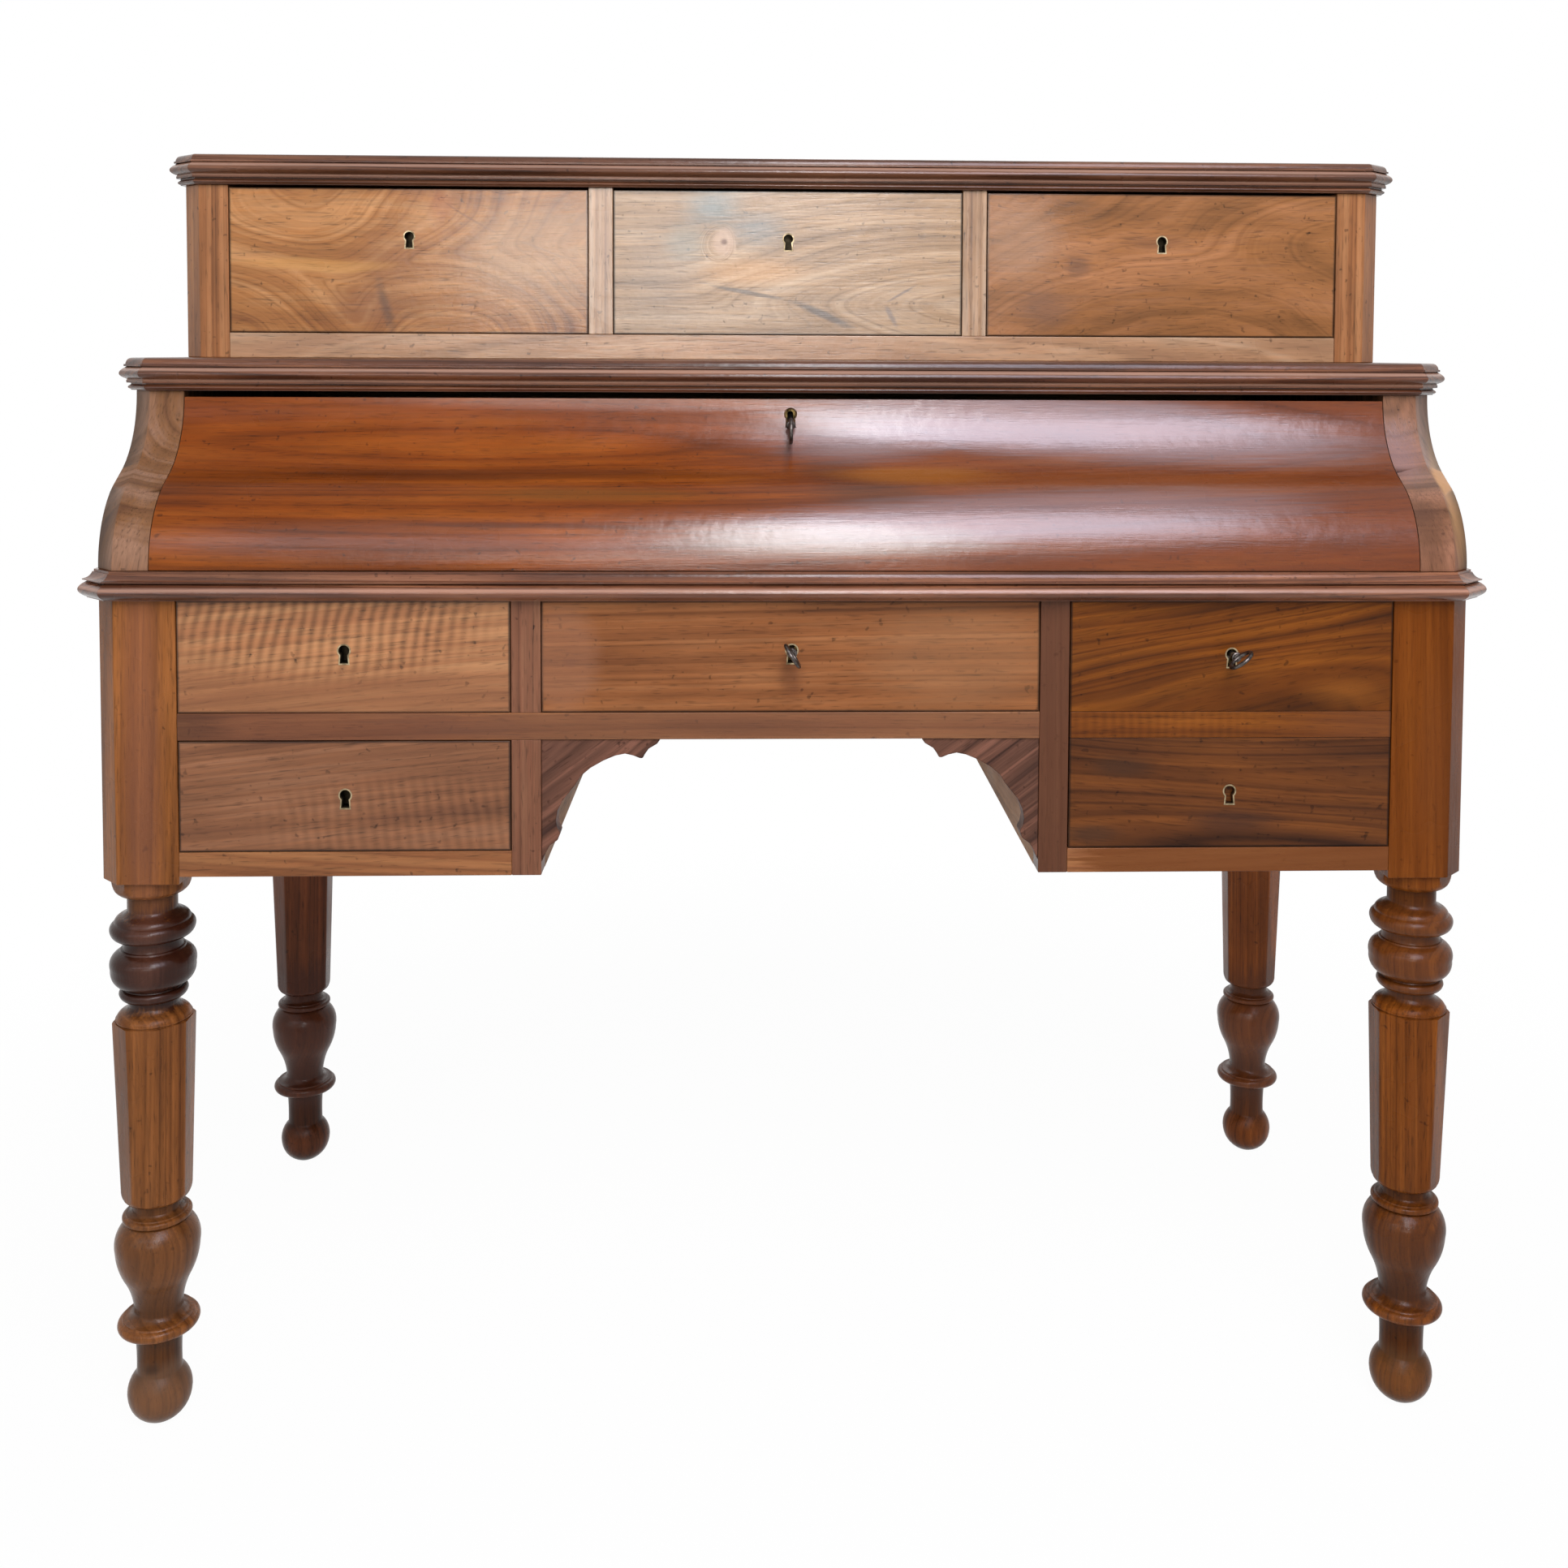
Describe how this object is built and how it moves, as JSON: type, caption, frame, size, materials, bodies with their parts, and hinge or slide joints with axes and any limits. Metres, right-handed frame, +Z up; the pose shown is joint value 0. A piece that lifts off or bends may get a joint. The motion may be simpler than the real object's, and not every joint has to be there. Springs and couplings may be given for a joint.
{
  "type": "cylinder desk",
  "caption": "Walnut writing desk on turned legs: a kneehole case of drawers, a low ogee-fronted cylinder that swings back, and a set-back upper case of drawers.",
  "frame": {"origin": "on the floor under the middle of the bounding box", "axes": "+X to the sitter's right along the desk's width, +Y from the front towards the back, +Z up"},
  "size_m": [1.252, 0.6, 1.169],
  "materials": {
    "post_walnut": "gloss",
    "drawer_walnut": "gloss",
    "figured_walnut": "gloss",
    "dark_walnut": "gloss",
    "cylinder_walnut": "gloss",
    "inner_softwood": "matt",
    "lock_brass": "satin",
    "key_steel": "worn",
    "pin_steel": "satin"
  },
  "bodies": {
    "case": {"leg_front_left": "post_walnut", "leg_front_right": "post_walnut", "leg_rear_left": "post_walnut", "leg_rear_right": "post_walnut", "front_rails": "post_walnut", "case_stiles": "post_walnut", "side_panels": "post_walnut", "pedestal_walls": "inner_softwood", "lower_back": "inner_softwood", "dust_boards": "inner_softwood", "drawer_guides": "inner_softwood", "knee_brackets": "dark_walnut", "writing_board": "post_walnut", "table_moulding": "dark_walnut", "cheek_left": "post_walnut", "cheek_right": "post_walnut", "upper_back": "inner_softwood", "pivot_plates": "lock_brass", "pivot_screws": "pin_steel", "waist_board": "post_walnut", "waist_moulding": "dark_walnut", "gradin_posts": "post_walnut", "gradin_sides": "post_walnut", "gradin_rail": "post_walnut", "gradin_stiles": "post_walnut", "gradin_partitions": "inner_softwood", "gradin_back": "inner_softwood", "cornice_board": "post_walnut", "cornice_moulding": "dark_walnut"},
    "cylinder": {"cylinder_panel": "cylinder_walnut", "cylinder_arms": "inner_softwood", "cylinder_pivots": "pin_steel", "cylinder_lock": "lock_brass"},
    "cylinder_bolt": {"cylinder_bolt": "lock_brass"},
    "cylinder_key": {"cylinder_key": "key_steel"},
    "gradin_left_drawer": {"gradin_left_front": "figured_walnut", "gradin_left_box": "inner_softwood", "gradin_left_lock": "lock_brass"},
    "gradin_mid_drawer": {"gradin_mid_front": "drawer_walnut", "gradin_mid_box": "inner_softwood", "gradin_mid_lock": "lock_brass"},
    "gradin_right_drawer": {"gradin_right_front": "drawer_walnut", "gradin_right_box": "inner_softwood", "gradin_right_lock": "lock_brass"},
    "upper_left_drawer": {"upper_left_front": "figured_walnut", "upper_left_box": "inner_softwood", "upper_left_lock": "lock_brass"},
    "lower_left_drawer": {"lower_left_front": "drawer_walnut", "lower_left_box": "inner_softwood", "lower_left_lock": "lock_brass"},
    "centre_drawer": {"centre_front": "drawer_walnut", "centre_box": "inner_softwood", "centre_lock": "lock_brass"},
    "deep_drawer": {"deep_front": "drawer_walnut", "deep_box": "inner_softwood", "deep_lock": "lock_brass"},
    "centre_bolt": {"centre_bolt": "lock_brass"},
    "centre_key": {"centre_key": "key_steel"},
    "deep_bolt": {"deep_bolt": "lock_brass"},
    "deep_key": {"deep_key": "key_steel"}
  },
  "joints": [
    {"name": "cylinder_swing", "type": "hinge", "parent": "case", "child": "cylinder", "pos_m": [0, -0.138, 0.798], "axis": [-1, 0, 0], "range_deg": [0, 62]},
    {"name": "gradin_left_slide", "type": "slide", "parent": "case", "child": "gradin_left_drawer", "axis": [0, -1, 0], "range_m": [0, 0.19]},
    {"name": "gradin_mid_slide", "type": "slide", "parent": "case", "child": "gradin_mid_drawer", "axis": [0, -1, 0], "range_m": [0, 0.19]},
    {"name": "gradin_right_slide", "type": "slide", "parent": "case", "child": "gradin_right_drawer", "axis": [0, -1, 0], "range_m": [0, 0.19]},
    {"name": "upper_left_slide", "type": "slide", "parent": "case", "child": "upper_left_drawer", "axis": [0, -1, 0], "range_m": [0, 0.36]},
    {"name": "lower_left_slide", "type": "slide", "parent": "case", "child": "lower_left_drawer", "axis": [0, -1, 0], "range_m": [0, 0.36]},
    {"name": "centre_slide", "type": "slide", "parent": "case", "child": "centre_drawer", "axis": [0, -1, 0], "range_m": [0, 0.36]},
    {"name": "deep_slide", "type": "slide", "parent": "case", "child": "deep_drawer", "axis": [0, -1, 0], "range_m": [0, 0.36]},
    {"name": "cylinder_key_turn", "type": "hinge", "parent": "cylinder", "child": "cylinder_key", "pos_m": [0, -0.15055, 0.916], "axis": [0, -0.9397, -0.342], "range_deg": [0, 180]},
    {"name": "cylinder_bolt_slide", "type": "slide", "parent": "cylinder", "child": "cylinder_bolt", "axis": [0, 0, 1], "range_m": [0, 0.00899]},
    {"name": "centre_key_turn", "type": "hinge", "parent": "centre_drawer", "child": "centre_key", "pos_m": [0, -0.26, 0.7112], "axis": [0, -1, 0], "range_deg": [0, 180]},
    {"name": "centre_bolt_slide", "type": "slide", "parent": "centre_drawer", "child": "centre_bolt", "axis": [0, 0, 1], "range_m": [0, 0.00899]},
    {"name": "deep_key_turn", "type": "hinge", "parent": "deep_drawer", "child": "deep_key", "pos_m": [0.39175, -0.26, 0.7072], "axis": [0, -1, 0], "range_deg": [0, 180]},
    {"name": "deep_bolt_slide", "type": "slide", "parent": "deep_drawer", "child": "deep_bolt", "axis": [0, 0, 1], "range_m": [0, 0.00899]}
  ],
  "couplings": [
    {"joint": "cylinder_key_turn", "follows": "cylinder_bolt_slide", "rad_per_m": 349.07},
    {"joint": "centre_key_turn", "follows": "centre_bolt_slide", "rad_per_m": 349.07},
    {"joint": "deep_key_turn", "follows": "deep_bolt_slide", "rad_per_m": 349.07}
  ]
}
